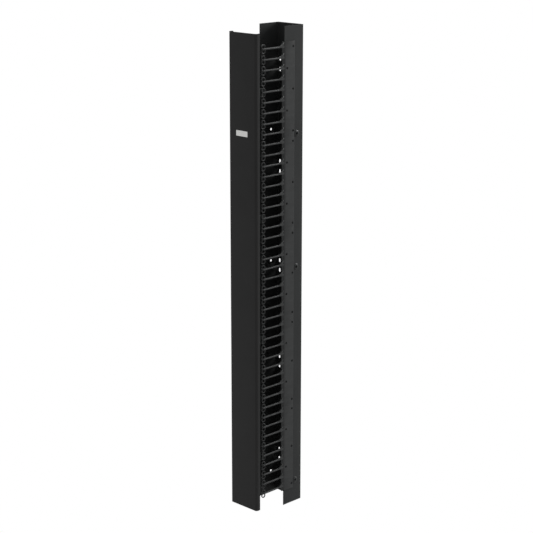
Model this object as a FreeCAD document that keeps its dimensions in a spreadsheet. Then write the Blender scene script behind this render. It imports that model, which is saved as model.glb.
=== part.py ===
import FreeCAD, Part
import math
import os
from types import SimpleNamespace
import Sketcher

# Vertical cable manager for a seven foot equipment rack. A folded steel channel stands
# upright with its open side to the front. Moulded combs with one finger per rack unit
# are riveted to the outside of both flanges, and a folded steel cover closes the front.
# The row frame has +X to the right, +Y to the rack behind and +Z up, with its origin at
# the middle of the channel's back face, which is the face that bolts to the rack.

doc = FreeCAD.newDocument("vertical_cable_manager")
sheet = doc.addObject("Spreadsheet::Sheet", "sizes")


def value_of(item):
    return item.value if isinstance(item, Size) else float(item)


def formula_of(item):
    return item.formula if isinstance(item, Size) else repr(float(item))


class Size:
    """A length together with the formula that it comes from."""

    def __init__(self, value, formula):
        self.value = value
        self.formula = formula

    def __add__(self, other):
        return Size(self.value + value_of(other), f"({self.formula} + {formula_of(other)})")

    def __sub__(self, other):
        return Size(self.value - value_of(other), f"({self.formula} - {formula_of(other)})")

    def __mul__(self, other):
        return Size(self.value * value_of(other), f"({self.formula} * {formula_of(other)})")

    def __truediv__(self, other):
        return Size(self.value / value_of(other), f"({self.formula} / {formula_of(other)})")

    def __neg__(self):
        return Size(-self.value, f"(-1 * {self.formula})")

    def whole(self):
        """The nearest whole number, for counting fingers."""
        return Size(math.floor(self.value + 0.5), f"floor({self.formula} + 0.5)")


# Driving sizes, in millimetres. The rack unit sets the finger pitch, and the counts set how
# long the combs are.
sizes = {
    "rack_unit": 44.45,
    "fingers_per_strip": 9,
    "strips_per_side": 5,
    "strip_gap": 0.4,
    "foot_margin": 69.85,
    "head_margin": 63.5,
    # Folded steel channel.
    "channel_width": 148.4,
    "channel_depth": 112.9,
    "channel_sheet": 1.9,
    "channel_bend": 1.5,
    # Slots in the web, four to a row, for bolting to the rack.
    "slot_rows": 5,
    "slot_row_units": 10,
    "slot_spacing": 122.0,
    "slot_width": 9.6,
    "slot_length": 17.6,
    # Round holes in the flanges, each in a pressed boss that stands out from the flange.
    "side_hole_width": 11.0,
    "side_hole_low": 101.6,
    "side_hole_middle": 1092.2,
    "side_hole_high": 1676.4,
    "boss_width": 29.0,
    "boss_top_width": 20.0,
    "boss_height": 3.7,
    "boss_gap": 1.0,
    # Moulded comb: a flat back on the flange, a nose that slopes in round the flange's front
    # edge, and fingers.
    "strip_depth": 57.0,
    "strip_plate": 3.5,
    "nose_front": 13.0,
    "nose_hook": 5.0,
    "hook_wall": 1.7,
    "flange_clear": 0.1,
    "nose_back": 6.5,
    "nose_taper": 2.4,
    "finger_thick": 7.4,
    "finger_height": 7.4,
    "finger_reach": 125.2,
    "finger_root": 1.0,
    "gusset_length": 22.0,
    "loop_radius": 10.9,
    "loop_wall": 3.3,
    "loop_gap": 4.9,
    # Push rivets that hold the combs: five to a strip, in two columns.
    "rivet_rear_inset": 8.0,
    "rivet_front_inset": 12.8,
    "rivet_shank": 4.6,
    "rivet_clear": 0.2,
    "rivet_head": 9.0,
    "rivet_head_height": 1.2,
    "rivet_tail": 2.6,
    # Folded steel cover, with its place set from the flanges' outer faces and the finger tips.
    "cover_overhang": 6.75,
    "cover_depth": 21.7,
    "cover_tip_gap": 17.1,
    "cover_foot_gap": 24.6,
    "cover_head_gap": 19.4,
    "cover_sheet": 1.2,
    "cover_corner": 10.5,
    "cover_hem": 6.0,
    "cover_hem_bend": 1.0,
    # Moulded clips that stand on the finger tips and carry the cover.
    "clips_per_side": 4,
    "clip_first_finger": 4,
    "clip_wall": 3.0,
    "clip_height": 36.0,
    "clip_shoulder": 2.9,
    "clip_shoulder_deep": 2.6,
    "clip_nose": 12.0,
    "clip_nose_taper": 1.2,
    "clip_peg": 3.0,
    "cover_clear": 0.3,
    "peg_clear": 0.1,
}
for row, (alias, value) in enumerate(sizes.items(), 1):
    sheet.set(f"A{row}", alias)
    sheet.set(f"B{row}", str(value))
    sheet.setAlias(f"B{row}", alias)
given = SimpleNamespace(**{
    alias: Size(float(value), f"sizes.{alias}") for alias, value in sizes.items()})

# Sizes that follow from the ones above.
strip_pitch = given.rack_unit * given.fingers_per_strip
channel_height = strip_pitch * given.strips_per_side + given.foot_margin + given.head_margin
channel_foot = -channel_height / 2
flange_face = given.channel_width / 2
flange_front = -given.channel_depth
boss_back = flange_front + given.strip_depth + given.boss_gap + given.boss_width / 2
loop_rise = (given.rack_unit - given.loop_gap) / 2 - given.loop_radius
loop_hole = given.loop_radius - given.loop_wall
rivet_hole = given.rivet_shank + given.rivet_clear
cover_side = flange_face + given.cover_overhang
cover_reach = given.finger_reach + given.loop_radius + given.cover_tip_gap
cover_rear = flange_front - cover_reach
cover_front = cover_rear - given.cover_depth
LOOP_SIDES = 6


def body_named(name):
    body = doc.addObject("PartDesign::Body", name)
    body.Label = name
    return body


def sketch_on(body, role, name, offset=None):
    """Start a sketch on one of the body's own origin planes, or parallel to it."""
    sketch = body.newObject("Sketcher::SketchObject", name)
    plane = [item for item in body.Origin.OriginFeatures if item.Role == role][0]
    sketch.AttachmentSupport = [(plane, "")]
    sketch.MapMode = "FlatFace"
    if offset is not None:
        sketch.setExpression(".AttachmentOffset.Base.z", formula_of(offset))
    return sketch


def fix_size(sketch, kind, size, *places):
    index = sketch.addConstraint(Sketcher.Constraint(kind, *places, value_of(size)))
    sketch.setExpression(f"Constraints[{index}]", formula_of(size))


def fix_point(sketch, edge, end, across, up):
    """Hold one end of a sketch edge at its two sizes from the sketch's origin."""
    fix_size(sketch, "DistanceX", across, -1, 1, edge, end)
    fix_size(sketch, "DistanceY", up, -1, 1, edge, end)


def draw_outline(sketch, corners):
    """Join the corners by straight sides and hold each corner at its own sizes."""
    points = [FreeCAD.Vector(value_of(across), value_of(up), 0) for across, up in corners]
    first = sketch.GeometryCount
    count = len(points)
    for index, point in enumerate(points):
        sketch.addGeometry(Part.LineSegment(point, points[(index + 1) % count]))
    for index, (across, up) in enumerate(corners):
        following = first + (index + 1) % count
        sketch.addConstraint(Sketcher.Constraint("Coincident", first + index, 2, following, 1))
        fix_point(sketch, first + index, 1, across, up)


def draw_square(sketch, across, up, side):
    half = side / 2
    left, right, low, high = across - half, across + half, up - half, up + half
    draw_outline(sketch, [(left, low), (right, low), (right, high), (left, high)])


def draw_polygon(sketch, across, up, radius):
    """A loop's outline, as a regular polygon that points up and down."""
    corners = []
    for step in range(LOOP_SIDES):
        angle = 2 * math.pi * step / LOOP_SIDES
        corners.append((across + radius * math.sin(angle), up + radius * math.cos(angle)))
    draw_outline(sketch, corners)


def draw_slot(sketch, across, up, width, length):
    """An upright slot with round ends, held at its end centres and its radius."""
    radius = width / 2
    low = up - (length - width) / 2
    high = up + (length - width) / 2
    x, y_low, y_high, r = (value_of(item) for item in (across, low, high, radius))
    axis = FreeCAD.Vector(0, 0, 1)
    top = Part.ArcOfCircle(Part.Circle(FreeCAD.Vector(x, y_high, 0), axis, r), 0, math.pi)
    foot = Part.ArcOfCircle(Part.Circle(FreeCAD.Vector(x, y_low, 0), axis, r), math.pi, 2 * math.pi)
    left = Part.LineSegment(FreeCAD.Vector(x - r, y_high, 0), FreeCAD.Vector(x - r, y_low, 0))
    right = Part.LineSegment(FreeCAD.Vector(x + r, y_low, 0), FreeCAD.Vector(x + r, y_high, 0))
    arc_top, side_left, arc_foot, side_right = (
        sketch.addGeometry(item) for item in (top, left, foot, right))
    for one, its_end, other, other_end in (
            (arc_top, 2, side_left, 1), (side_left, 2, arc_foot, 1),
            (arc_foot, 2, side_right, 1), (side_right, 2, arc_top, 1)):
        sketch.addConstraint(Sketcher.Constraint("Tangent", one, its_end, other, other_end))
    fix_point(sketch, arc_top, 3, across, high)
    fix_point(sketch, arc_foot, 3, across, low)
    fix_size(sketch, "Radius", radius, arc_top)


def pad(body, sketch, length):
    """Raise the sketch by half the length each way from its plane."""
    feature = body.newObject("PartDesign::Pad", sketch.Name + "_pad")
    feature.Profile = sketch
    feature.SideType = "Symmetric"
    feature.setExpression("Length", formula_of(length))
    return feature


def pad_up(body, sketch, length):
    feature = body.newObject("PartDesign::Pad", sketch.Name + "_pad")
    feature.Profile = sketch
    feature.setExpression("Length", formula_of(length))
    return feature


def pocket(body, sketch, length):
    """Cut the sketch through the body, half the length each way from its plane."""
    doc.recompute()
    before = body.Shape.Volume
    feature = body.newObject("PartDesign::Pocket", sketch.Name + "_cut")
    feature.Profile = sketch
    feature.SideType = "Symmetric"
    feature.setExpression("Length", formula_of(length))
    doc.recompute()
    if body.Shape.Volume >= before:
        raise RuntimeError(feature.Name + " cuts nothing")
    return feature


def repeat_up(body, name, features, count, step):
    """Repeat the features upwards, count times in all, a step apart."""
    pattern = body.newObject("PartDesign::LinearPattern", name)
    pattern.Originals = features
    axis = [item for item in body.Origin.OriginFeatures if item.Role == "Z_Axis"][0]
    pattern.Direction = (axis, [""])
    pattern.Mode = "Spacing"
    pattern.setExpression("Offset", formula_of(step))
    pattern.setExpression("Occurrences", formula_of(count))
    body.Tip = pattern
    doc.recompute()
    return pattern


def round_upright_edges(body, name, places, radius):
    """Round the edges that run upwards through the given places in plan."""
    doc.recompute()
    base = body.Tip
    names = []
    for number, edge in enumerate(base.Shape.Edges, 1):
        low, high = edge.BoundBox.ZMin, edge.BoundBox.ZMax
        if edge.BoundBox.XLength > 0.01 or edge.BoundBox.YLength > 0.01 or high - low < 1:
            continue
        middle = edge.BoundBox.Center
        for across, along in places:
            if math.hypot(middle.x - value_of(across), middle.y - value_of(along)) < 0.01:
                names.append(f"Edge{number}")
    if len(names) != len(places):
        raise RuntimeError(name + " finds " + str(len(names)) + " edges")
    fillet = body.newObject("PartDesign::Fillet", name)
    fillet.Base = (base, names)
    fillet.setExpression("Radius", formula_of(radius))
    doc.recompute()
    return fillet


def put(item, across, along, up, turned=False):
    """Place a sub-part, turned half round an axis along the fingers for the left side."""
    turn = FreeCAD.Rotation(FreeCAD.Vector(0, 1, 0), 180 if turned else 0)
    item.Placement = FreeCAD.Placement(FreeCAD.Vector(0, 0, 0), turn)
    for axis, size in (("x", across), ("y", along), ("z", up)):
        item.setExpression(f".Placement.Base.{axis}", formula_of(size))


def copy_of(source, name):
    """Another body of the same moulding, which follows the first one's sizes."""
    body = body_named(name)
    base = doc.addObject("PartDesign::FeatureBase", name + "_base")
    base.BaseFeature = source
    body.Group = [base]
    body.Tip = base
    return body


def rivet_places():
    """The five rivet places of one strip, from the flange's front edge and the strip's end."""
    rear = given.strip_depth - given.rivet_rear_inset
    places = [(rear, given.rack_unit * units) for units in (0.5, 4.5, 8.5)]
    places += [(given.rivet_front_inset, given.rack_unit * units) for units in (2.5, 6.5)]
    return places


# Back channel, folded from one sheet, with its web at the back and open at the front.
channel = body_named("back_channel")
outer = flange_face
inner = flange_face - given.channel_sheet
section = sketch_on(channel, "XY_Plane", "channel_section")
draw_outline(section, [
    (-outer, flange_front), (-inner, flange_front), (-inner, -given.channel_sheet),
    (inner, -given.channel_sheet), (inner, flange_front), (outer, flange_front),
    (outer, 0), (-outer, 0)])
pad(channel, section, channel_height)
web_front = -given.channel_sheet
outside_bend = given.channel_bend + given.channel_sheet
round_upright_edges(channel, "outer_bends", [(outer, 0), (-outer, 0)], outside_bend)
round_upright_edges(channel, "inner_bends", [(inner, web_front), (-inner, web_front)], given.channel_bend)

# Each side hole lies at the top of a pressed boss, hollow behind, in both flanges.
boss_top = flange_face + given.boss_height
boss_hollow = boss_top - given.channel_sheet


def side_round(kind, name, sign, height, start, end):
    """A round solid along X that stands or sinks from one face of a flange to another."""
    shape = channel.newObject(kind, name)
    turn = FreeCAD.Rotation(FreeCAD.Vector(0, 1, 0), 90 * sign)
    shape.Placement = FreeCAD.Placement(FreeCAD.Vector(0, 0, 0), turn)
    for axis, size in (("x", start * sign), ("y", boss_back), ("z", channel_foot + height)):
        shape.setExpression(f".Placement.Base.{axis}", formula_of(size))
    shape.setExpression("Height", formula_of(end - start))
    return shape


for level, height in (
        ("low", given.side_hole_low), ("middle", given.side_hole_middle),
        ("high", given.side_hole_high)):
    for side, sign in (("left", -1), ("right", 1)):
        place = f"{side}_{level}"
        for name, kind, start, end, thinner in (
                ("boss", "PartDesign::AdditiveCone", flange_face, boss_top, 0),
                ("boss_hollow", "PartDesign::SubtractiveCone", inner, boss_hollow, given.channel_sheet)):
            cone = side_round(kind, f"{name}_{place}", sign, height, start, end)
            cone.setExpression("Radius1", formula_of((given.boss_width - thinner) / 2))
            cone.setExpression("Radius2", formula_of((given.boss_top_width - thinner) / 2))
        hole = side_round("PartDesign::SubtractiveCylinder", f"side_hole_{place}", sign, height,
                          inner, boss_top + given.channel_sheet)
        hole.setExpression("Radius", formula_of(given.side_hole_width / 2))

# Rows of four slots through the web, every tenth rack unit about the middle.
slots = sketch_on(channel, "XZ_Plane", "rear_slots")
first_row = -(given.rack_unit * given.slot_row_units * (given.slot_rows - 1) / 2)
for sign in (-1, 1):
    for rise in (-0.5, 0.5):
        draw_slot(slots, given.slot_spacing / 2 * sign, first_row + given.rack_unit * rise,
                  given.slot_width, given.slot_length)
slot_cut = pocket(channel, slots, given.channel_sheet * 4)
repeat_up(channel, "rear_slot_rows", [slot_cut], given.slot_rows, given.rack_unit * given.slot_row_units)

# Square rivet holes through both flanges, matched to the combs.
holes = sketch_on(channel, "YZ_Plane", "flange_rivet_holes")
for back, up in rivet_places():
    draw_square(holes, flange_front + back, channel_foot + given.foot_margin + up, rivet_hole)
hole_cut = pocket(channel, holes, given.channel_width * 2)
repeat_up(channel, "flange_rivet_hole_rows", [hole_cut], given.strips_per_side, strip_pitch)

# Comb strip. Its own frame starts on the flange's outer face, at the flange's front edge
# and at the strip's lower end, with the fingers towards -Y.
strip = body_named("finger_strip_right_1")
half_finger = given.finger_thick / 2
hook_face = -(given.channel_sheet + given.flange_clear)
strip_section = sketch_on(strip, "XY_Plane", "strip_section", given.strip_gap / 2)
draw_outline(strip_section, [
    (0, given.strip_depth), (0, -given.flange_clear), (hook_face, -given.flange_clear),
    (hook_face, given.nose_hook), (hook_face - given.hook_wall, given.nose_hook),
    (hook_face - given.hook_wall, -given.nose_front),
    (given.strip_plate - given.nose_taper, -given.nose_front),
    (given.strip_plate, given.nose_back), (given.strip_plate, given.strip_depth)])
pad_up(strip, strip_section, strip_pitch - given.strip_gap)

# One finger: a bar that flares into the nose, with a pair of flexible loops at its tip.
middle = given.rack_unit / 2
half_bar = given.finger_height / 2
slot_half = given.rack_unit / 2 - half_bar
gusset_start = -(given.nose_front + given.gusset_length)


def gusset_point(degrees, sign):
    """A point of the rounded end of the slot beside a finger, 0 degrees at the bar."""
    angle = math.radians(degrees)
    across = gusset_start + given.gusset_length * math.sin(angle)
    return across, middle + (half_bar + slot_half * (1 - math.cos(angle))) * sign


root = given.finger_root - given.nose_front
upper_side = [(root, gusset_point(75, 1)[1])] + [gusset_point(turn, 1) for turn in (68, 35, 0)]
lower_side = [gusset_point(turn, -1) for turn in (0, 35, 68)] + [(root, gusset_point(75, -1)[1])]
tip = [(-given.finger_reach, middle + half_bar), (-given.finger_reach, middle - half_bar)]
finger = sketch_on(strip, "YZ_Plane", "finger")
draw_outline(finger, upper_side + tip + lower_side)
finger_pad = pad(strip, finger, given.finger_thick)
loop_pads = []
for name, rise in (("upper_loop", loop_rise), ("lower_loop", -loop_rise)):
    loop = sketch_on(strip, "YZ_Plane", name)
    draw_polygon(loop, -given.finger_reach, middle + rise, given.loop_radius)
    loop_pads.append(pad(strip, loop, given.finger_thick))
loop_holes = sketch_on(strip, "YZ_Plane", "loop_holes")
for rise in (loop_rise, -loop_rise):
    draw_polygon(loop_holes, -given.finger_reach, middle + rise, loop_hole)
loop_cut = pocket(strip, loop_holes, given.finger_thick * 2)
repeat_up(strip, "fingers", [finger_pad] + loop_pads + [loop_cut], given.fingers_per_strip, given.rack_unit)

# Rivet holes through the comb's flat back.
strip_holes = sketch_on(strip, "YZ_Plane", "strip_rivet_holes")
for back, up in rivet_places():
    draw_square(strip_holes, back, up, rivet_hole)
pocket(strip, strip_holes, given.strip_plate * 4)

# Push rivets of one strip: a low head outside, a square shank through strip and flange.
rivets = body_named("strip_rivets_right_1")
shanks = sketch_on(rivets, "YZ_Plane", "rivet_shanks")
heads = sketch_on(rivets, "YZ_Plane", "rivet_heads", given.strip_plate)
for back, up in rivet_places():
    draw_square(shanks, back, up, given.rivet_shank)
    draw_polygon(heads, back, up, given.rivet_head / 2)
shank_pad = pad_up(rivets, shanks, given.strip_plate)
shank_pad.SideType = "Two sides"
shank_pad.setExpression("Length2", formula_of(given.channel_sheet + given.rivet_tail))
pad_up(rivets, heads, given.rivet_head_height)

# Cover clip. Its plate lies against the inside of one finger's two loops and is pegged
# into them, and its arm reaches forward between the cover's hems. A shoulder that slopes
# out at 45 degrees stops each hem.
clip = body_named("cover_clip_right_1")
hem_edge = given.cover_overhang - given.cover_hem
shoulder_front = given.cover_clear - cover_reach
loop_face = -half_finger
clip_inside = loop_face - given.clip_wall
arm_face = hem_edge - given.cover_clear
shoulder_out = hem_edge + given.clip_shoulder
clip_section = sketch_on(clip, "XY_Plane", "clip_section")
draw_outline(clip_section, [
    (clip_inside, -given.finger_reach + loop_hole), (loop_face, -given.finger_reach + loop_hole),
    (loop_face, shoulder_front + given.clip_shoulder_deep + shoulder_out - loop_face),
    (shoulder_out, shoulder_front + given.clip_shoulder_deep),
    (shoulder_out, shoulder_front), (arm_face, shoulder_front),
    (arm_face, shoulder_front - given.clip_nose + given.clip_nose_taper * 2),
    (arm_face - given.clip_nose_taper, shoulder_front - given.clip_nose),
    (clip_inside, shoulder_front - given.clip_nose)])
pad(clip, clip_section, given.clip_height)
pegs = sketch_on(clip, "YZ_Plane", "clip_pegs", loop_face)
for rise in (loop_rise, -loop_rise):
    draw_polygon(pegs, -given.finger_reach, rise, loop_hole - given.peg_clear)
pad_up(clip, pegs, given.clip_peg)

# Front cover, folded from one sheet: a flat front, rounded corners, short sides and hems.
cover = body_named("front_cover")
side_inner = cover_side - given.cover_sheet
hem_end = cover_side - given.cover_hem
hem_front = cover_rear - given.cover_sheet
front_inner = cover_front + given.cover_sheet
cover_section = sketch_on(cover, "XY_Plane", "cover_section", channel_foot + given.cover_foot_gap)
draw_outline(cover_section, [
    (-cover_side, cover_front), (cover_side, cover_front), (cover_side, cover_rear), (hem_end, cover_rear),
    (hem_end, hem_front), (side_inner, hem_front), (side_inner, front_inner),
    (-side_inner, front_inner), (-side_inner, hem_front), (-hem_end, hem_front),
    (-hem_end, cover_rear), (-cover_side, cover_rear)])
pad_up(cover, cover_section, channel_height - given.cover_foot_gap - given.cover_head_gap)
for name, across, along, radius in (
        ("corner_outside", cover_side, cover_front, given.cover_corner),
        ("corner_inside", side_inner, front_inner, given.cover_corner - given.cover_sheet),
        ("hem_outside", cover_side, cover_rear, given.cover_hem_bend + given.cover_sheet),
        ("hem_inside", side_inner, hem_front, given.cover_hem_bend)):
    round_upright_edges(cover, name, [(across, along), (-across, along)], radius)

# Every strip with its rivets. On the left the same moulding is turned half round, so its
# lower end is at the top. The clips stand on every twelfth finger.
parts = [channel, cover]
first_strip = channel_foot + given.foot_margin
for name, source in (("finger_strip", strip), ("strip_rivets", rivets)):
    for side_name, sign in (("right", 1), ("left", -1)):
        for number in range(int(given.strips_per_side.value)):
            node = f"{name}_{side_name}_{number + 1}"
            item = source if node == source.Name else copy_of(source, node)
            turned = sign < 0
            put(item, flange_face * sign, flange_front,
                first_strip + strip_pitch * (number + 1 if turned else number), turned)
            parts.append(item)
finger_total = given.fingers_per_strip * given.strips_per_side
clip_step = (finger_total - given.clip_first_finger * 2 - 1) / (given.clips_per_side - 1)
for side_name, sign in (("right", 1), ("left", -1)):
    for number in range(int(given.clips_per_side.value)):
        node = f"cover_clip_{side_name}_{number + 1}"
        item = clip if node == clip.Name else copy_of(clip, node)
        finger_number = (given.clip_first_finger + clip_step * number).whole()
        height = first_strip + (finger_number + 0.5) * given.rack_unit
        put(item, flange_face * sign, flange_front, height, sign < 0)
        parts.append(item)
doc.recompute()

# Nothing is written unless every feature came out sound.
faults = [item.Name for item in doc.Objects if {"Invalid", "Error"} & set(item.State)]
faults += [item.Label for item in parts if item.Shape.isNull() or not item.Shape.isValid()]
if faults:
    raise RuntimeError("failed: " + ", ".join(faults))
os.makedirs("parts", exist_ok=True)
for item in parts:
    item.Shape.exportStep(f"parts/{item.Label}.step")
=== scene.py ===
import math

import bmesh
import bpy
from mathutils import Matrix, Vector


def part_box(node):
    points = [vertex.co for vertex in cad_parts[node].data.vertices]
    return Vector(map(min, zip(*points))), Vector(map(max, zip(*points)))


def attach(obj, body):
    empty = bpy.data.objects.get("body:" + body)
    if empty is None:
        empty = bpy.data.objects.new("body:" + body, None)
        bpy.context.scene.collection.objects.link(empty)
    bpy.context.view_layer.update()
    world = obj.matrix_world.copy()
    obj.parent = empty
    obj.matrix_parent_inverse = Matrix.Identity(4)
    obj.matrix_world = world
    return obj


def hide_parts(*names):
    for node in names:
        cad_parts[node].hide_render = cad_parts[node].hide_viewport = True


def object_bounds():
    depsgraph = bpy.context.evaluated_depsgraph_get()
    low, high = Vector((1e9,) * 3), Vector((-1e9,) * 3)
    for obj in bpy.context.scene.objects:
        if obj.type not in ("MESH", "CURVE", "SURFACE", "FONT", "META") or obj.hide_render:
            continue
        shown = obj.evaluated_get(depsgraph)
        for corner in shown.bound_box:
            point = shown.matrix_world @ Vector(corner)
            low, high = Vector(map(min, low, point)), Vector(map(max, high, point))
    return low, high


# Vertical cable manager for a seven foot equipment rack: a folded steel channel with moulded
# combs riveted along both front edges and a folded steel cover in front of the finger tips.
# Lengths are in metres. +X is to the right, +Y to the rack behind and +Z up.

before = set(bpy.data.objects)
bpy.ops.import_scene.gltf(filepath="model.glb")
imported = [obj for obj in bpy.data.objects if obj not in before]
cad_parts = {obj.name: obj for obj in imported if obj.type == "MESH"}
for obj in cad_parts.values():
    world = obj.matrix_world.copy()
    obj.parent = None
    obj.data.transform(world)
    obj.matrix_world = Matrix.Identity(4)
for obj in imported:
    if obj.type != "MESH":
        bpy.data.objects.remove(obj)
cad_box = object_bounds()

# Back channel. One sheet of 1.9 mm steel, slotted and punched flat, then folded into a web
# and two flanges, with a round boss pressed outwards about each side hole. It is powder
# coated black after folding, and its web bolts to the rack.

CHANNEL_SHEET = 0.0019
CHANNEL_BEND = 0.0034
FLANGE_FACE = 0.0742
channel_low, channel_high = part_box("back_channel")
FLANGE_FRONT = channel_low.y
RACK_UNIT = 0.04445
BOSS_HEIGHT = channel_high.x - FLANGE_FACE
SIDE_HOLE_BACK = -0.0404
SIDE_HOLE_HEIGHTS = (-0.9652, 0.0254, 0.6096)
SIDE_HOLE_RADIUS = 0.0055
BOSS_STEPS = 40
SLOT_ACROSS = 0.061
SLOT_RADIUS = 0.0048
SLOT_STRAIGHT = 0.008
SLOT_STEPS = 28
SLOT_ROW_STEP = 10 * RACK_UNIT
PUNCH_START = 0.002
PUNCH_STROKE = 0.006
SHARP_ANGLE = math.radians(38)


def linear(hex_colour):
    """An sRGB hex colour as the linear colour that a shader takes."""
    parts = [int(hex_colour[place:place + 2], 16) / 255 for place in (1, 3, 5)]
    return [part / 12.92 if part <= 0.04045 else ((part + 0.055) / 1.055) ** 2.4 for part in parts] + [1]


def add_node(tree, kind, inputs=(), **settings):
    """Add a node, with each input given a value or the output that feeds it."""
    added = tree.nodes.new(kind)
    for setting, value in settings.items():
        setattr(added, setting, value)
    for place, value in dict(inputs).items():
        if isinstance(value, bpy.types.NodeSocket):
            tree.links.new(value, added.inputs[place])
        else:
            added.inputs[place].default_value = value
    return added


def new_material(name):
    """An empty node material and its output node."""
    material = bpy.data.materials.new(name)
    material.use_nodes = True
    material.node_tree.nodes.clear()
    return material, add_node(material.node_tree, "ShaderNodeOutputMaterial")


def powder_coat(name, dark, light, rough, gloss):
    """Polyester powder coat: an even black film with a fine pebbled skin, a little uneven in depth
    and sheen over a hand's breadth. The pebbles are drawn 1.6 mm across, twice the real ones, to show."""
    material, out = new_material(name)
    tree = material.node_tree
    place = add_node(tree, "ShaderNodeTexCoord").outputs["Object"]
    cloud = add_node(tree, "ShaderNodeTexNoise", {"Vector": place, "Scale": 7.0, "Detail": 3.0})
    pebble = add_node(tree, "ShaderNodeTexNoise", {"Vector": place, "Scale": 620.0, "Detail": 2.0})
    depth = add_node(tree, "ShaderNodeMapRange", {
        "Value": cloud.outputs["Fac"], "From Min": 0.35, "From Max": 0.65, "To Min": 0.0, "To Max": 1.0})
    speck = add_node(tree, "ShaderNodeMath", {0: pebble.outputs["Fac"], 1: 0.35}, operation="MULTIPLY")
    blend = add_node(tree, "ShaderNodeMath", {0: depth.outputs[0], 1: speck.outputs[0]}, operation="ADD")
    colour = add_node(tree, "ShaderNodeMix", {
        "Factor": blend.outputs[0], "A": linear(dark), "B": linear(light)}, data_type="RGBA")
    sheen = add_node(tree, "ShaderNodeMapRange", {
        "Value": cloud.outputs["Fac"], "From Min": 0.35, "From Max": 0.65,
        "To Min": rough - 0.03, "To Max": rough + 0.03})
    bump = add_node(tree, "ShaderNodeBump", {
        "Height": pebble.outputs["Fac"], "Strength": 0.35, "Distance": 0.0001})
    film = add_node(tree, "ShaderNodeBsdfPrincipled", {
        "Base Color": colour.outputs[2], "Roughness": sheen.outputs[0], "Normal": bump.outputs[0],
        "Specular IOR Level": gloss})
    tree.links.new(film.outputs[0], out.inputs["Surface"])
    return material


def as_mesh(name, form):
    """Turn a finished bmesh into a mesh with smooth curves and crisp corners."""
    bmesh.ops.recalc_face_normals(form, faces=form.faces)
    mesh = bpy.data.meshes.new(name)
    form.to_mesh(mesh)
    form.free()
    mesh.shade_smooth()
    mesh.set_sharp_from_angle(angle=SHARP_ANGLE)
    return mesh


def put_in_scene(name, data):
    """A new object in the scene, at the origin, that shows a mesh, a lamp or a camera."""
    item = bpy.data.objects.new(name, data)
    bpy.context.scene.collection.objects.link(item)
    return item


def place_piece(name, mesh, material, slot, body, *nodes):
    """Show a mesh as one piece that stands for CAD nodes and rides on their body."""
    piece = put_in_scene(name, mesh)
    mesh.materials.clear()
    mesh.materials.append(material)
    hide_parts(*nodes)
    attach(piece, body)


def combined(name, mesh, operation, cutter):
    """The mesh after a union with the cutter, or a cut by it."""
    holder = put_in_scene(name, mesh)
    tool = put_in_scene(name + "_tool", as_mesh(name + "_tool", cutter))
    step = holder.modifiers.new(operation.lower(), "BOOLEAN")
    step.operation = operation
    step.solver = "EXACT"
    step.object = tool
    graph = bpy.context.evaluated_depsgraph_get()
    result = bpy.data.meshes.new_from_object(holder.evaluated_get(graph), depsgraph=graph)
    for item in (holder, tool):
        bpy.data.objects.remove(item)
    result.polygons.foreach_set("material_index", [0] * len(result.polygons))
    return result


def new_corners(grown):
    """The vertices among what an extrusion has grown."""
    return [part for part in grown["geom"] if isinstance(part, bmesh.types.BMVert)]


def folded_sheet(corners, low, high, radii, thickness):
    """A sheet folded along upright lines through the corners, thickened inwards."""
    form = bmesh.new()
    feet = [form.verts.new((across, along, low)) for across, along in corners]
    foot_edges = [form.edges.new(pair) for pair in zip(feet, feet[1:])]
    grown = bmesh.ops.extrude_edge_only(form, edges=foot_edges)
    bmesh.ops.translate(form, vec=(0, 0, high - low), verts=new_corners(grown))
    for radius in sorted(set(radii)):
        folds = []
        for corner, its_radius in zip(corners[1:-1], radii):
            folds += [
                edge for edge in form.edges
                if its_radius == radius and all(
                    math.dist(end.co.xy, corner) < 1e-6 for end in edge.verts)]
        bmesh.ops.bevel(form, geom=folds, offset=radius, segments=10, profile=0.5,
                        affect="EDGES", material=-1)
    bmesh.ops.recalc_face_normals(form, faces=form.faces)
    bmesh.ops.solidify(form, geom=form.faces[:], thickness=thickness)
    return form


def turned(form, outline, centre, axis, segments):
    """Add a round solid: an outline of radius and height, turned about an axis through its centre."""
    side = Vector((0, 0, 1)) if abs(axis.z) < 0.5 else Vector((1, 0, 0))
    points = [form.verts.new(centre + side * radius + axis * height) for radius, height in outline]
    edges = [form.edges.new(pair) for pair in zip(points, points[1:])]
    bmesh.ops.spin(form, geom=points + edges, cent=centre, axis=axis, angle=2 * math.pi,
                   steps=segments, use_merge=True)
    bmesh.ops.remove_doubles(form, verts=form.verts, dist=2e-6)


channel_form = folded_sheet(
    [(-FLANGE_FACE, FLANGE_FRONT), (-FLANGE_FACE, 0), (FLANGE_FACE, 0), (FLANGE_FACE, FLANGE_FRONT)],
    channel_low.z, channel_high.z, (CHANNEL_BEND, CHANNEL_BEND), CHANNEL_SHEET)
channel_mesh = as_mesh("back_channel_sheet", channel_form)

# The boss and the punch that hollows it, as radius and height above the flange. The punch also
# cuts the web's slots, drawn as circles pulled apart and driven through from behind.
boss_form = bmesh.new()
punch_form = bmesh.new()
boss_outline = [(0, -0.0004), (0.0158, -0.0004), (0.0158, 0.00002), (0.0146, 0.0003), (0.0136, 0.0010),
                (0.0109, BOSS_HEIGHT - 0.0006), (0.0102, BOSS_HEIGHT - 0.0002), (0.0093, BOSS_HEIGHT),
                (0, BOSS_HEIGHT)]
punch_outline = [(0, -0.003), (0.0142, -0.003), (0.0142, -0.00188), (0.0132, -0.0016), (0.0122, -0.0009),
                 (0.0096, 0.0012), (0.0082, BOSS_HEIGHT - CHANNEL_SHEET),
                 (SIDE_HOLE_RADIUS, BOSS_HEIGHT - CHANNEL_SHEET), (SIDE_HOLE_RADIUS, BOSS_HEIGHT + 0.001),
                 (0, BOSS_HEIGHT + 0.001)]
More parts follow.
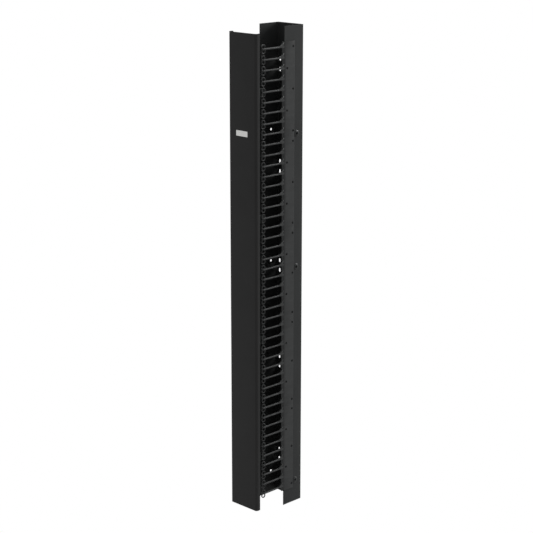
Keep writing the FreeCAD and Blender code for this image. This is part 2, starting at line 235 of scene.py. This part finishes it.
for sign in (-1, 1):
    for height in SIDE_HOLE_HEIGHTS:
        centre = Vector((FLANGE_FACE * sign, SIDE_HOLE_BACK, height))
        outwards = Vector((sign, 0, 0))
        turned(boss_form, boss_outline, centre, outwards, BOSS_STEPS)
        turned(punch_form, punch_outline, centre, outwards, BOSS_STEPS)
    for row in range(-2, 3):
        for rise in (-RACK_UNIT / 2, RACK_UNIT / 2):
            ring = bmesh.ops.create_circle(
                punch_form, cap_ends=True, radius=SLOT_RADIUS, segments=SLOT_STEPS,
                matrix=Matrix.Rotation(math.pi / SLOT_STEPS, 4, "Z"))["verts"]
            for corner in ring:
                corner.co.y += math.copysign(SLOT_STRAIGHT / 2, corner.co.y)
            bmesh.ops.rotate(punch_form, verts=ring, cent=(0, 0, 0),
                             matrix=Matrix.Rotation(math.pi / 2, 3, "X"))
            bmesh.ops.translate(punch_form, verts=ring, vec=(
                SLOT_ACROSS * sign, PUNCH_START, SLOT_ROW_STEP * row + rise))
            grown = bmesh.ops.extrude_face_region(punch_form, geom=[ring[0].link_faces[0]])
            bmesh.ops.translate(punch_form, vec=(0, -PUNCH_STROKE, 0), verts=new_corners(grown))
channel_mesh = combined("channel_bossed", channel_mesh, "UNION", boss_form)
channel_mesh = combined("channel_punched", channel_mesh, "DIFFERENCE", punch_form)
channel_mesh.shade_smooth()
channel_mesh.set_sharp_from_angle(angle=SHARP_ANGLE)
channel_coat = powder_coat("powder_coated_steel_channel", "#262727", "#2b2c2c", 0.5, 0.09)
place_piece("steel_channel", channel_mesh, channel_coat, "channel_steel", "frame", "back_channel")

# Comb strips. Each is one black nylon moulding of nine fingers: a flat back that lies on the
# flange, a nose that hooks round its front edge, bars that widen into ribbed gussets, and a
# pair of round flexible loops at each tip. Ten alike, riveted on, turned over on the left.

STRIP_DEPTH = 0.057
STRIP_PLATE = 0.0035
STRIP_CORNER = 0.0006
HALF_FINGER = 0.0037
NOSE_FRONT = 0.013
NOSE_BACK = 0.003
NOSE_TAPER = 0.0046
FINGERS = 9
FINGER_REACH = 0.1252
BAR_ROUND = 0.0031
GUSSET_LENGTH = 0.022
GUSSET_SLOPE = 0.3
SMALL_CORNER = 0.009
CORNER_STEPS = 9
TIP_STEPS = 8
EDGE_STEPS = 5
LOOP_RADIUS = 0.0109
LOOP_WALL = 0.0033
LOOP_RISE = 0.008875
LOOP_DEPTH = 0.0056
LOOP_EDGE = 0.0013
LOOP_STEPS = 30
STRIP_GAP = 0.0004
SEAT_FLOOR = 0.0022
SEAT_RADIUS = 0.0055


def moulded_nylon(name, dark, light, rough, gloss):
    """Glass-filled nylon from a spark-eroded mould: black, a satin skin with a fine matt grain, and
    faint paler streaks where it flowed. The grain is drawn 1 mm across, coarser than it is, to show."""
    material, out = new_material(name)
    tree = material.node_tree
    place = add_node(tree, "ShaderNodeTexCoord").outputs["Object"]
    along = add_node(tree, "ShaderNodeMapping", {"Vector": place, "Scale": (60.0, 12.0, 60.0)})
    streak = add_node(tree, "ShaderNodeTexNoise", {"Vector": along.outputs[0], "Scale": 1.0, "Detail": 4.0})
    grain = add_node(tree, "ShaderNodeTexNoise", {"Vector": place, "Scale": 1000.0, "Detail": 2.0})
    shade = add_node(tree, "ShaderNodeMapRange", {
        "Value": streak.outputs["Fac"], "From Min": 0.3, "From Max": 0.7, "To Min": 0.0, "To Max": 1.0})
    colour = add_node(tree, "ShaderNodeMix", {
        "Factor": shade.outputs[0], "A": linear(dark), "B": linear(light)}, data_type="RGBA")
    sheen = add_node(tree, "ShaderNodeMapRange", {
        "Value": grain.outputs["Fac"], "From Min": 0.3, "From Max": 0.7,
        "To Min": rough - 0.04, "To Max": rough + 0.05})
    bump = add_node(tree, "ShaderNodeBump", {
        "Height": grain.outputs["Fac"], "Strength": 0.3, "Distance": 0.00008})
    skin = add_node(tree, "ShaderNodeBsdfPrincipled", {
        "Base Color": colour.outputs[2], "Roughness": sheen.outputs[0], "Normal": bump.outputs[0],
        "Specular IOR Level": gloss})
    tree.links.new(skin.outputs[0], out.inputs["Surface"])
    return material


def slot_corner(turn, length, rise):
    """A point of a slot's rounded corner beside a finger, as height from the bar's middle."""
    return -NOSE_FRONT - length * (1 - math.sin(turn)), HALF_FINGER + rise * (1 - math.cos(turn))


def nose_face(along):
    """How far out the nose's sloping face lies, between the flat back and the slots' ends."""
    return STRIP_PLATE - NOSE_TAPER * (NOSE_BACK - along) / (NOSE_BACK + NOSE_FRONT)


def add_comb_front(form):
    """The nose and its nine bars: one outline, raised and drawn in by steps to round its edges,
    and lowered on the outside from the start of the gussets to the nose."""
    margin = 0.005
    length = FINGERS * RACK_UNIT
    nose_back = -0.0006
    nose_share = 1.3
    outline = [(nose_back, -margin), (-NOSE_FRONT, -margin)]
    turns = [math.pi / 2 * step / CORNER_STEPS for step in range(CORNER_STEPS + 1)]
    below = [slot_corner(turn, SMALL_CORNER, SMALL_CORNER) for turn in reversed(turns)]
    above = [slot_corner(turn, GUSSET_LENGTH, RACK_UNIT / 2 - HALF_FINGER) for turn in turns]
    for finger in range(FINGERS):
        middle = (finger + 0.5) * RACK_UNIT
        outline += [(along, middle - up) for along, up in below]
        for step in range(TIP_STEPS + 1):
            turn = math.pi * step / TIP_STEPS
            outline.append((-FINGER_REACH - HALF_FINGER * math.sin(turn),
                            middle - HALF_FINGER * math.cos(turn)))
        outline += [(along, middle + up) for along, up in above[:-1]]
    outline += [(-NOSE_FRONT, length), (-NOSE_FRONT, length + margin), (nose_back, length + margin)]
    start = [form.verts.new((0, along, up)) for along, up in outline]
    bmesh.ops.remove_doubles(form, verts=start, dist=1e-5)
    face = form.faces.new([v for v in start if v.is_valid])
    face.normal_update()
    if face.normal.x < 0:
        face.normal_flip()
    flat = HALF_FINGER - BAR_ROUND
    steps = [math.pi / 2 * step / EDGE_STEPS for step in range(EDGE_STEPS + 1)]
    top = bmesh.ops.extrude_face_region(form, geom=[face])["geom"]
    top_face = [item for item in top if isinstance(item, bmesh.types.BMFace)][0]
    form.faces.remove(face)
    bmesh.ops.translate(form, vec=(flat, 0, 0), verts=top_face.verts)
    for before, after in zip(steps, steps[1:]):
        bmesh.ops.inset_region(
            form, faces=[top_face], use_boundary=True, use_even_offset=True,
            thickness=BAR_ROUND * (math.cos(before) - math.cos(after)),
            depth=BAR_ROUND * (math.sin(after) - math.sin(before)))
    half = form.verts[:] + form.edges[:] + form.faces[:]
    bmesh.ops.mirror(form, geom=half, axis="X", merge_dist=1e-6)
    for corner in form.verts:
        if corner.co.x > 0:
            share = (corner.co.y + NOSE_FRONT + GUSSET_LENGTH) / GUSSET_LENGTH
            corner.co.x *= 1 - GUSSET_SLOPE * min(max(share, 0), nose_share)
    for height, facing in ((STRIP_GAP / 2, -1), (length - STRIP_GAP / 2, 1)):
        cut = bmesh.ops.bisect_plane(
            form, geom=form.verts[:] + form.edges[:] + form.faces[:], dist=1e-7, plane_co=(0, 0, height),
            plane_no=(0, 0, facing), clear_outer=True)["geom_cut"]
        rim = [edge for edge in cut if isinstance(edge, bmesh.types.BMEdge)]
        bmesh.ops.contextual_create(form, geom=rim)


def add_loops(form):
    """The pair of rings at each finger tip, turned from a rounded section."""
    inner_face = -HALF_FINGER
    for finger in range(FINGERS):
        for sign in (-1, 1):
            centre = Vector((0, -FINGER_REACH, (finger + 0.5) * RACK_UNIT + LOOP_RISE * sign))
            near, far = LOOP_RADIUS - LOOP_WALL, LOOP_RADIUS
            section = [form.verts.new(centre + Vector((across, 0, radius))) for across, radius in (
                (inner_face, near), (inner_face, far), (inner_face + LOOP_DEPTH, far),
                (inner_face + LOOP_DEPTH, near))]
            rim = [form.edges.new((end, section[place - 1])) for place, end in enumerate(section)]
            known = set(form.edges) - set(rim)
            bmesh.ops.bevel(form, geom=section, offset=LOOP_EDGE, segments=2, profile=0.5,
                            affect="VERTICES", material=-1)
            rim = [edge for edge in form.edges if edge not in known]
            ends = {end for edge in rim for end in edge.verts}
            corners = [corner for corner in form.verts if corner in ends]
            bmesh.ops.spin(form, geom=corners + rim, cent=centre, axis=(1, 0, 0), angle=2 * math.pi,
                           steps=LOOP_STEPS, use_merge=True)


def add_ribs(form):
    """The flat-topped rib that rises out of each bar, curves up its gusset and sinks into the nose."""
    thick = 0.002
    wide = 0.0032
    root = -0.0385
    lift = 0.0014
    bend = 0.04
    sweep = math.radians(58)
    rise_end, rise_pinch, rise_depth = 0.35, 0.55, 0.0014
    sink_start, sink_pinch, sink_depth = 0.65, 0.35, 0.0034
    for finger in range(FINGERS):
        start = Vector((HALF_FINGER + 0.0002 - thick, root, (finger + 0.5) * RACK_UNIT + lift))
        known = set(form.verts)
        section = [form.verts.new(start + Vector((thick * across, 0, wide * up)))
                   for across, up in ((-1, -1), (1, -1), (1, 1), (-1, 1))]
        form.faces.new(section)
        bmesh.ops.bevel(form, geom=section, offset=0.0012, segments=3, profile=0.5,
                        affect="VERTICES", material=-1)
        face = [item for item in form.faces if set(item.verts).isdisjoint(known)][0]
        centre = start + Vector((0, 0, bend))
        bmesh.ops.spin(form, geom=[face], cent=centre, axis=(1, 0, 0), angle=sweep, steps=16)
        for corner in set(form.verts) - known:
            spoke = Vector((corner.co.y - centre.y, corner.co.z - centre.z))
            turn = math.atan2(spoke.x, -spoke.y) / sweep
            early = max(1 - turn / rise_end, 0)
            late = max(turn - sink_start, 0) / (1 - sink_start)
            width_share = 1 - rise_pinch * early - sink_pinch * late
            spoke *= (bend + (spoke.length - bend) * width_share) / spoke.length
            corner.co = Vector((corner.co.x - rise_depth * early ** 2 - sink_depth * late ** 2,
                                centre.y + spoke.x, centre.z + spoke.y))


def add_strip_back(form):
    """The flat back, the root of the nose and the hook round the flange's edge, as one long section."""
    clear = 0.0001
    hook = -(CHANNEL_SHEET + clear)
    hook_wall = 0.0017
    hook_end = 0.005
    root = 0.0075
    outline = [
        (0, STRIP_DEPTH), (0, -clear), (hook, -clear), (hook, hook_end), (hook - hook_wall, hook_end),
        (hook - hook_wall + 0.0002, -root), (nose_face(-root) - 0.0003, -root),
        (nose_face(-root + 0.001), -root + 0.001), (STRIP_PLATE, NOSE_BACK), (STRIP_PLATE, STRIP_DEPTH)]
    corners = [form.verts.new((across, along, STRIP_GAP / 2)) for across, along in outline]
    form.faces.new(corners)
    bmesh.ops.bevel(form, geom=[corners[place] for place in (0, 3, 4, 5, 9)], offset=STRIP_CORNER,
                    segments=3, profile=0.5, affect="VERTICES", material=-1)
    grown = bmesh.ops.extrude_face_region(form, geom=form.faces[:])
    bmesh.ops.translate(form, vec=(0, 0, FINGERS * RACK_UNIT - STRIP_GAP), verts=new_corners(grown))


def rivet_places():
    """The five rivet places of one strip, along the flange and up the strip."""
    rear = STRIP_DEPTH - 0.008
    fore = 0.0128
    return ([(rear, RACK_UNIT * units) for units in (0.5, 4.5, 8.5)]
            + [(fore, RACK_UNIT * units) for units in (2.5, 6.5)])


def add_slot_hollows(form):
    """What the nose loses between the bars: its face slopes in steeply there and rounds off in front."""
    back, fore, clear = 0.001, -0.0145, 0.008
    line = [(clear, fore), (clear, back), (nose_face(back), back), (nose_face(-0.0105), -0.0105),
            (nose_face(-0.012) - 0.0005, -0.012), (nose_face(-0.0128) - 0.0013, -0.0128),
            (nose_face(-0.0131) - 0.0025, -0.0131), (nose_face(-0.0131) - 0.0025, fore)]
    half_bar = 0.0022
    foot_slant = 0.45
    head_slant = 0.25
    for slot in range(FINGERS + 1):
        low = (slot - 0.5) * RACK_UNIT
        corners = [form.verts.new((across, along, low + half_bar - foot_slant * (along - back)))
                   for across, along in line]
        for corner in new_corners(bmesh.ops.extrude_face_region(form, geom=[form.faces.new(corners)])):
            corner.co.z = low + RACK_UNIT - half_bar + head_slant * (corner.co.y - back)


back_form = bmesh.new()
add_strip_back(back_form)
hole_form = bmesh.new()
for along, up in rivet_places():
    turned(hole_form, [(0, -0.001), (0.0024, -0.001), (0.0024, SEAT_FLOOR), (0.0051, SEAT_FLOOR),
                       (SEAT_RADIUS, 0.005), (0, 0.005)], Vector((0, along, up)), Vector((1, 0, 0)), 28)
back_mesh = combined("strip_back", as_mesh("strip_back", back_form), "DIFFERENCE", hole_form)
front_form = bmesh.new()
add_comb_front(front_form)
hollow_form = bmesh.new()
add_slot_hollows(hollow_form)
front_mesh = combined("comb_front", as_mesh("comb_front", front_form), "DIFFERENCE", hollow_form)
comb_form = bmesh.new()
add_loops(comb_form)
add_ribs(comb_form)
comb_form.from_mesh(back_mesh)
comb_form.from_mesh(front_mesh)
comb_mesh = as_mesh("comb_strip", comb_form)

comb_nylon = moulded_nylon("moulded_nylon_comb", "#282929", "#2e2f2f", 0.5, 0.17)
SIDES = (("right", 1), ("left", -1))
TURNED_OVER = Matrix.Rotation(math.pi, 4, "Y")


def strip_end(node, sign):
    """The height of a strip's own foot, which is its lower end on the right and its upper on the left."""
    low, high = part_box(node)
    return low.z - STRIP_GAP / 2 if sign > 0 else high.z + STRIP_GAP / 2


def on_flange(mesh, sign, height):
    """A copy of a mesh, set on the right flange's front edge at a height, or turned over on the left."""
    moved = mesh.copy()
    place = Matrix.Translation((FLANGE_FACE * sign, FLANGE_FRONT, height))
    moved.transform(place if sign > 0 else place @ TURNED_OVER)
    return moved


for side, sign in SIDES:
    for number in range(1, 6):
        node = f"finger_strip_{side}_{number}"
        place_piece(f"comb_{side}_{number}", on_flange(comb_mesh, sign, strip_end(node, sign)),
                    comb_nylon, "comb_plastic", "frame", node)

# Push rivets. Black nylon, pushed in from outside: a low domed head with the mark of its
# centre pin, a round shank through comb and flange, and a tail that spreads inside.

RIVET_HEAD = 0.0045
RIVET_SHANK = 0.0023
rivet_outline = [
    (0, 0.0032), (0.0011, 0.0032), (0.0013, 0.0036), (0.0021, 0.00366), (0.0032, 0.0034), (0.0041, 0.0029),
    (RIVET_HEAD, 0.0025), (RIVET_HEAD, SEAT_FLOOR + 0.00005), (RIVET_SHANK, SEAT_FLOOR),
    (RIVET_SHANK, -0.0021), (0.0029, -0.0026), (0.0026, -0.0034), (0.0014, -0.0045), (0, -0.0045)]
rivet_form = bmesh.new()
for along, up in rivet_places():
    turned(rivet_form, rivet_outline, Vector((0, along, up)), Vector((1, 0, 0)), 24)
rivet_mesh = as_mesh("push_rivets", rivet_form)
# The rivets' nylon is set much darker than the comb's: painted shade that stands in for the dark crescents
# beside their heads.
rivet_nylon_painted_shade = moulded_nylon("moulded_nylon_rivet_painted_shade", "#0c0d0d", "#101111", 0.4, 0.05)
for side, sign in SIDES:
    for number in range(1, 6):
        foot = strip_end(f"finger_strip_{side}_{number}", sign)
        place_piece(f"rivets_{side}_{number}", on_flange(rivet_mesh, sign, foot), rivet_nylon_painted_shade,
                    "rivet_plastic", "frame", f"strip_rivets_{side}_{number}")

# Cover clips. Black nylon brackets, each pegged into one finger's pair of loops from inside,
# with an arm that reaches forward between the cover's hems and a shoulder behind them. The
# outline is drawn from above, across and along from the flange's front edge.

# The clips' nylon is set darker than the comb's: painted shade, so that they sink into the dark gap behind
# the cover's sides.
clip_nylon_painted_shade = moulded_nylon("moulded_nylon_clip_painted_shade", "#1c1e1d", "#222423", 0.5, 0.09)
clip_outline = [
    (-0.0067, -0.1176), (-0.0037, -0.1176), (-0.0037, -0.14105), (0.00365, -0.1484), (0.00365, -0.151),
    (0.00045, -0.151), (0.00045, -0.1606), (-0.00075, -0.1649), (-0.0067, -0.1649)]
CLIP_HALF = 0.018
PEG_RADIUS = 0.0073
clip_form = bmesh.new()
clip_form.faces.new([clip_form.verts.new((across, along, -CLIP_HALF)) for across, along in clip_outline])
grown = bmesh.ops.extrude_face_region(clip_form, geom=clip_form.faces[:])
bmesh.ops.translate(clip_form, vec=(0, 0, CLIP_HALF * 2), verts=new_corners(grown))
bmesh.ops.recalc_face_normals(clip_form, faces=clip_form.faces)
bmesh.ops.bevel(clip_form, geom=clip_form.edges[:], offset=0.0005, segments=2, profile=0.5,
                affect="EDGES", material=-1)
for sign in (-1, 1):
    turned(clip_form, [(0, -0.0038), (PEG_RADIUS, -0.0038), (PEG_RADIUS, -0.0012),
                       (PEG_RADIUS - 0.0005, -0.0007), (0, -0.0007)],
           Vector((0, -FINGER_REACH, LOOP_RISE * sign)), Vector((1, 0, 0)), 32)
clip_mesh = as_mesh("cover_clip", clip_form)
for side, sign in SIDES:
    for number in range(1, 5):
        node = f"cover_clip_{side}_{number}"
        low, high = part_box(node)
        place_piece(f"clip_{side}_{number}", on_flange(clip_mesh, sign, (low.z + high.z) / 2),
                    clip_nylon_painted_shade, "clip_plastic", "frame", node)

# Front cover. One sheet of 1.2 mm steel, folded with wide rounded corners, short sides and
# inward hems that the clips hold, and powder coated black like the channel. Its sides reach a
# little further back than the CAD solid's, as the photograph shows them.

COVER_SHEET = 0.0012
COVER_CORNER = 0.0105
COVER_HEM = 0.006
HEM_CORNER = 0.0022
COVER_REACH = 0.0019
LABEL_THICKNESS = 0.00015
cover_low, cover_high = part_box("front_cover")
cover_front = cover_low.y + LABEL_THICKNESS
cover_side = cover_high.x
cover_rear = cover_high.y + COVER_REACH
cover_form = folded_sheet(
    [(-cover_side + COVER_HEM, cover_rear), (-cover_side, cover_rear), (-cover_side, cover_front),
     (cover_side, cover_front), (cover_side, cover_rear), (cover_side - COVER_HEM, cover_rear)],
    cover_low.z, cover_high.z, (HEM_CORNER, COVER_CORNER, COVER_CORNER, HEM_CORNER), COVER_SHEET)
# The cover's colours are set a little darker than the channel's, though both are one powder coat: painted
# shade for a face that turns away from the lamps.
shaded_cover_coat = powder_coat("powder_coated_steel_cover_painted_shade", "#222222", "#262626", 0.52, 0.09)
place_piece("steel_cover", as_mesh("front_cover_sheet", cover_form), shaded_cover_coat, "cover_steel",
            "cover", "front_cover")

# Label. A plain white vinyl plate with rounded corners, stuck to the cover's face above the
# middle and a little left of centre, and left bare. It comes away with the cover.

LABEL_LEFT, LABEL_RIGHT = -0.0363, 0.0307
LABEL_FOOT, LABEL_HEAD = 0.6174, 0.6407
LABEL_CORNER = 0.0015

label_material, label_out = new_material("white_vinyl_label")
label_tree = label_material.node_tree
label_place = add_node(label_tree, "ShaderNodeTexCoord").outputs["Object"]
label_cloud = add_node(label_tree, "ShaderNodeTexNoise", {
    "Vector": label_place, "Scale": 90.0, "Detail": 3.0})
label_colour = add_node(label_tree, "ShaderNodeMix", {
    "Factor": label_cloud.outputs["Fac"], "A": linear("#d6d6d4"), "B": linear("#e2e2e0")}, data_type="RGBA")
vinyl = add_node(label_tree, "ShaderNodeBsdfPrincipled", {
    "Base Color": label_colour.outputs[2], "Roughness": 0.35})
label_tree.links.new(vinyl.outputs[0], label_out.inputs["Surface"])
label_form = bmesh.new()
corners = [label_form.verts.new((across, cover_front, up)) for across, up in (
    (LABEL_LEFT, LABEL_FOOT), (LABEL_RIGHT, LABEL_FOOT),
    (LABEL_RIGHT, LABEL_HEAD), (LABEL_LEFT, LABEL_HEAD))]
label_form.faces.new(corners)
bmesh.ops.bevel(label_form, geom=corners, offset=LABEL_CORNER, segments=4, profile=0.5,
                affect="VERTICES", material=-1)
grown = bmesh.ops.extrude_face_region(label_form, geom=label_form.faces[:])
bmesh.ops.translate(label_form, vec=(0, -LABEL_THICKNESS, 0), verts=new_corners(grown))
label_mesh = as_mesh("label_plate", label_form)
label = put_in_scene("label_plate", label_mesh)
label_mesh.materials.append(label_material)
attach(label, "cover")

# Studio. Plain white surroundings, a large soft lamp far behind, above and a little to the right,
# which the right flank and the tops of the bars catch, and a weaker one overhead. The floor is a
# pale grey that throws little light back up, and the camera sees it white.

FILL_LIGHT = 0.625
FLOOR_HALF = 30
FLOOR_DROP = 0.0005

world = bpy.data.worlds.new("studio")
bpy.context.scene.world = world
world.use_nodes = True
world.node_tree.nodes.clear()
sky_out = add_node(world.node_tree, "ShaderNodeOutputWorld")
rays = add_node(world.node_tree, "ShaderNodeLightPath")
seen = add_node(world.node_tree, "ShaderNodeMath", {
    0: rays.outputs["Is Camera Ray"], 1: rays.outputs["Is Glossy Ray"]}, operation="MAXIMUM")
seen = add_node(world.node_tree, "ShaderNodeMath", {
    0: seen.outputs[0], 1: rays.outputs["Is Transmission Ray"]}, operation="MAXIMUM")
strength = add_node(world.node_tree, "ShaderNodeMapRange", {
    "Value": seen.outputs[0], "To Min": FILL_LIGHT, "To Max": 1.0})
sky = add_node(world.node_tree, "ShaderNodeBackground", {
    "Color": (1, 1, 1, 1), "Strength": strength.outputs[0]})
world.node_tree.links.new(sky.outputs[0], sky_out.inputs["Surface"])

floor_material, floor_out = new_material("studio_floor")
floor_tree = floor_material.node_tree
paint = add_node(floor_tree, "ShaderNodeBsdfDiffuse", {"Color": linear("#b8b8b8")})
glow = add_node(floor_tree, "ShaderNodeEmission", {"Color": (1, 1, 1, 1), "Strength": 1.0})
floor_rays = add_node(floor_tree, "ShaderNodeLightPath")
floor_seen = add_node(floor_tree, "ShaderNodeMath", {
    0: floor_rays.outputs["Is Camera Ray"], 1: floor_rays.outputs["Is Glossy Ray"]}, operation="MAXIMUM")
floor_mix = add_node(floor_tree, "ShaderNodeMixShader", {
    0: floor_seen.outputs[0], 1: paint.outputs[0], 2: glow.outputs[0]})
floor_tree.links.new(floor_mix.outputs[0], floor_out.inputs["Surface"])
floor_form = bmesh.new()
bmesh.ops.create_grid(floor_form, x_segments=1, y_segments=1, size=FLOOR_HALF)
bmesh.ops.translate(floor_form, vec=(0, 0, cad_box[0].z - FLOOR_DROP), verts=floor_form.verts)
floor_mesh = bpy.data.meshes.new("floor")
floor_form.to_mesh(floor_mesh)
floor_form.free()
floor_mesh.materials.append(floor_material)
floor = put_in_scene("floor", floor_mesh)


def add_lamp(name, place, target, size, power):
    """A soft square lamp that faces a target."""
    lamp = bpy.data.lights.new(name, "AREA")
    lamp.size = size
    lamp.energy = power
    holder = put_in_scene(name, lamp)
    holder.location = place
    holder.rotation_euler = (Vector(target) - Vector(place)).to_track_quat("-Z", "Y").to_euler()


add_lamp("behind_right", (2.0, 7.8, 4.0), (0, -0.1, 0.1), 3.0, 950)
add_lamp("overhead", (-0.5, 0.3, 9.0), (0, -0.1, 0), 3.0, 820)

# Camera, at the photograph's place: 45 degrees to the right of the front, looking down a little.

camera_data = bpy.data.cameras.new("camera")
camera_data.lens = 103.64
camera_data.sensor_width = 36
camera_data.clip_end = 100
camera = put_in_scene("camera", camera_data)
camera.location = (4.5379, -4.6830, 1.7151)
camera.rotation_euler = (math.radians(75.298), 0, math.radians(45))
bpy.context.scene.camera = camera
bpy.context.scene.view_settings.view_transform = "Standard"
